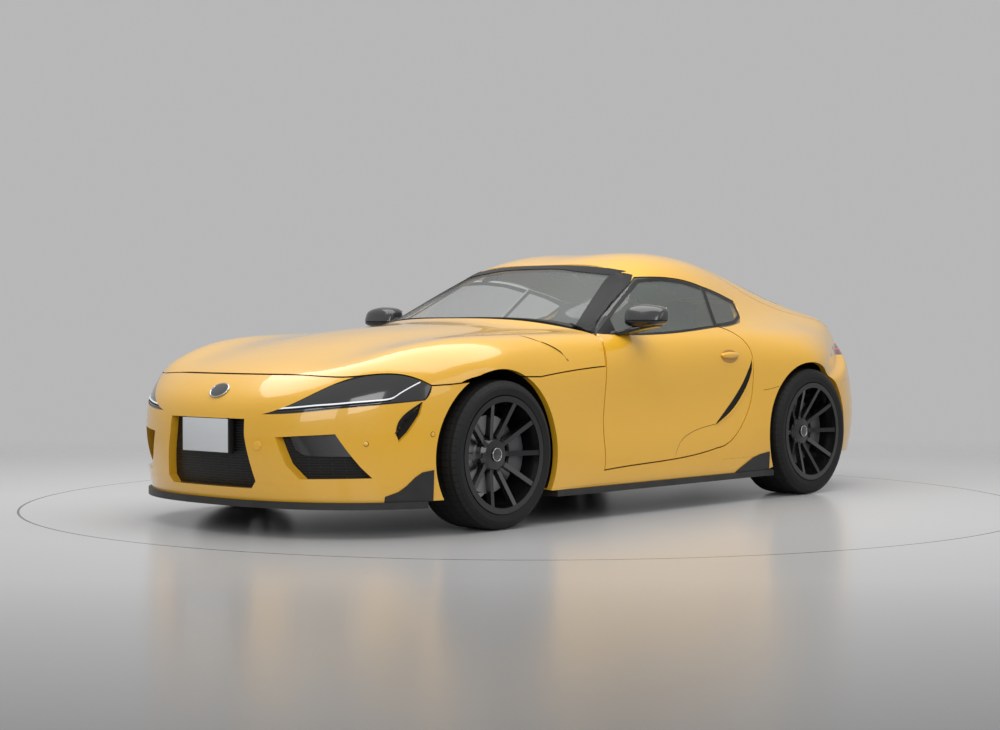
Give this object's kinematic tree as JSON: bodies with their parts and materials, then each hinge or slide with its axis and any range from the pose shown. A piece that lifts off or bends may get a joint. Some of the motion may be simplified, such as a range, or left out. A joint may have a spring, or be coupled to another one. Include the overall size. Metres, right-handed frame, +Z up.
{
  "type": "two-seat coupe car",
  "caption": "Low sports coupe with a clamshell bonnet, domed roof, lift-up rear hatch, wide rear haunches and spoked wheels on low tyres.",
  "frame": {"origin": "on the ground below the middle of the car's bounding box", "axes": "+X to the nose, +Y to the car's left, +Z up"},
  "size_m": [4.3807, 2.024, 1.2899],
  "materials": {
    "paint": "amber-yellow gloss",
    "glass": "tinted",
    "tyre": "matte",
    "rim": "gloss black",
    "disc": "machined",
    "lamp": "smoked clear",
    "tail_lamp": "smoked red",
    "steel": "polished",
    "iron": "cast",
    "seat": "black cloth and leather",
    "structure": "coated",
    "trim": "satin black"
  },
  "bodies": {
    "shell": {"floor_pan": "structure", "sills": "paint", "side_skirts": "trim", "firewall": "structure", "cowl": "trim", "dashboard": "trim", "centre_console": "trim", "seat_left": "seat", "seat_right": "seat", "luggage_floor": "structure", "front_rails": "structure", "engine_block": "iron", "front_suspension": "iron", "rear_suspension": "iron", "arch_liners": "trim", "fender_left": "paint", "fender_right": "paint", "quarter_left": "paint", "quarter_right": "paint", "roof": "paint", "screen_pillars": "trim", "windscreen": "glass", "quarter_glass": "glass", "front_bumper": "paint", "grilles": "trim", "front_splitter": "trim", "headlamps": "lamp", "rear_bumper": "paint", "rear_diffuser": "trim", "exhaust_tips": "steel", "tail_lamps": "tail_lamp"},
    "bonnet": {"bonnet": "paint"},
    "hatch": {"hatch_panel": "paint", "hatch_glass": "glass"},
    "door_left": {"door_panel_left": "paint", "door_glass_left": "glass", "mirror_left": "trim"},
    "door_right": {"door_panel_right": "paint", "door_glass_right": "glass", "mirror_right": "trim"},
    "steering_wheel": {"steering_wheel": "trim"},
    "knuckle_left": {"knuckle_left": "iron"},
    "knuckle_right": {"knuckle_right": "iron"},
    "wheel_front_left": {"tyre_front_left": "tyre", "rim_front_left": "rim", "disc_front_left": "disc"},
    "wheel_front_right": {"tyre_front_right": "tyre", "rim_front_right": "rim", "disc_front_right": "disc"},
    "wheel_rear_left": {"tyre_rear_left": "tyre", "rim_rear_left": "rim", "disc_rear_left": "disc"},
    "wheel_rear_right": {"tyre_rear_right": "tyre", "rim_rear_right": "rim", "disc_rear_right": "disc"}
  },
  "joints": [
    {"name": "door_left_hinge", "type": "hinge", "parent": "shell", "child": "door_left", "pos_m": [0.43, 0.8684, 0.5155], "axis": [0, 0.0596, -0.9982], "range_deg": [0, 65]},
    {"name": "door_right_hinge", "type": "hinge", "parent": "shell", "child": "door_right", "pos_m": [0.43, -0.8684, 0.5155], "axis": [0, 0.0596, 0.9982], "range_deg": [0, 65]},
    {"name": "bonnet_hinge", "type": "hinge", "parent": "shell", "child": "bonnet", "pos_m": [0.496, 0, 0.858], "axis": [0, -1, 0], "range_deg": [0, 45]},
    {"name": "hatch_hinge", "type": "hinge", "parent": "shell", "child": "hatch", "pos_m": [-0.7, 0, 1.26], "axis": [0, 1, 0], "range_deg": [0, 70]},
    {"name": "steer_left", "type": "hinge", "parent": "shell", "child": "knuckle_left", "pos_m": [1.265, 0.72, 0.33], "axis": [0, 0, 1], "range_deg": [-35, 35]},
    {"name": "steer_right", "type": "hinge", "parent": "shell", "child": "knuckle_right", "pos_m": [1.265, -0.72, 0.33], "axis": [0, 0, 1], "range_deg": [-35, 35]},
    {"name": "steering_column", "type": "hinge", "parent": "shell", "child": "steering_wheel", "pos_m": [0.06, 0.37, 0.745], "axis": [-0.9063, 0, 0.4226], "range_deg": [-420, 420]},
    {"name": "wheel_front_left_spin", "type": "hinge", "parent": "knuckle_left", "child": "wheel_front_left", "pos_m": [1.265, 0.8, 0.33], "axis": [0, 1, 0], "continuous": true},
    {"name": "wheel_front_right_spin", "type": "hinge", "parent": "knuckle_right", "child": "wheel_front_right", "pos_m": [1.265, -0.8, 0.33], "axis": [0, 1, 0], "continuous": true},
    {"name": "wheel_rear_left_spin", "type": "hinge", "parent": "shell", "child": "wheel_rear_left", "pos_m": [-1.205, 0.8, 0.337], "axis": [0, 1, 0], "continuous": true},
    {"name": "wheel_rear_right_spin", "type": "hinge", "parent": "shell", "child": "wheel_rear_right", "pos_m": [-1.205, -0.8, 0.337], "axis": [0, 1, 0], "continuous": true}
  ],
  "couplings": [
    {"joint": "steer_right", "follows": "steer_left", "ratio": 1},
    {"joint": "steering_column", "follows": "steer_left", "ratio": 12}
  ]
}
